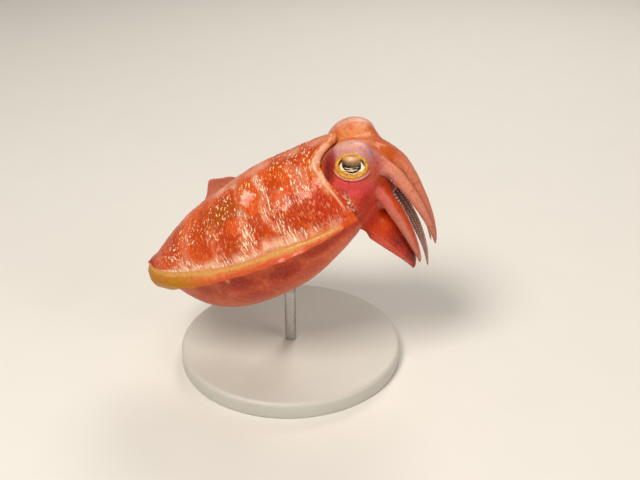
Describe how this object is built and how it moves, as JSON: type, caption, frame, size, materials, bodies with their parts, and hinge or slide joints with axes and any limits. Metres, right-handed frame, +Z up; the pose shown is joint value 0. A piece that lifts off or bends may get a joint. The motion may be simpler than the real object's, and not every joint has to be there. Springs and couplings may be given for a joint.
{
  "type": "common cuttlefish model",
  "caption": "Life-size still model of a swimming common cuttlefish, red with pale flecks, arms drooping, on a small round display stand.",
  "frame": {"origin": "centre of the stand's underside", "axes": "+X the way the animal looks, +Y to its left, +Z up"},
  "size_m": [0.0991, 0.08, 0.0894],
  "materials": {
    "skin": "wet soft skin, orange-red with darker red blotches, pink ground and cream flecks, glossy highlights",
    "fin": "thin wet membrane, translucent golden salmon, clearer and olive gold at the tail",
    "eye": "gold iris ring and dark curved pupil under a clear glossy cornea",
    "stand_base": "satin pale grey paint",
    "stand_rod": "fine brushed steel"
  },
  "bodies": {
    "root": {"mantle": "skin", "fin_left": "fin", "fin_right": "fin", "head": "skin", "eye_left": "eye", "eye_right": "eye", "funnel": "skin", "arm_left_1_base": "skin", "arm_left_1_tip": "skin", "arm_left_2_base": "skin", "arm_left_2_tip": "skin", "arm_left_3_base": "skin", "arm_left_3_tip": "skin", "arm_left_4_base": "skin", "arm_left_4_tip": "skin", "arm_right_1_base": "skin", "arm_right_1_tip": "skin", "arm_right_2_base": "skin", "arm_right_2_tip": "skin", "arm_right_3_base": "skin", "arm_right_3_tip": "skin", "arm_right_4_base": "skin", "arm_right_4_tip": "skin", "stand_base": "stand_base", "stand_rod": "stand_rod"}
  },
  "joints": []
}
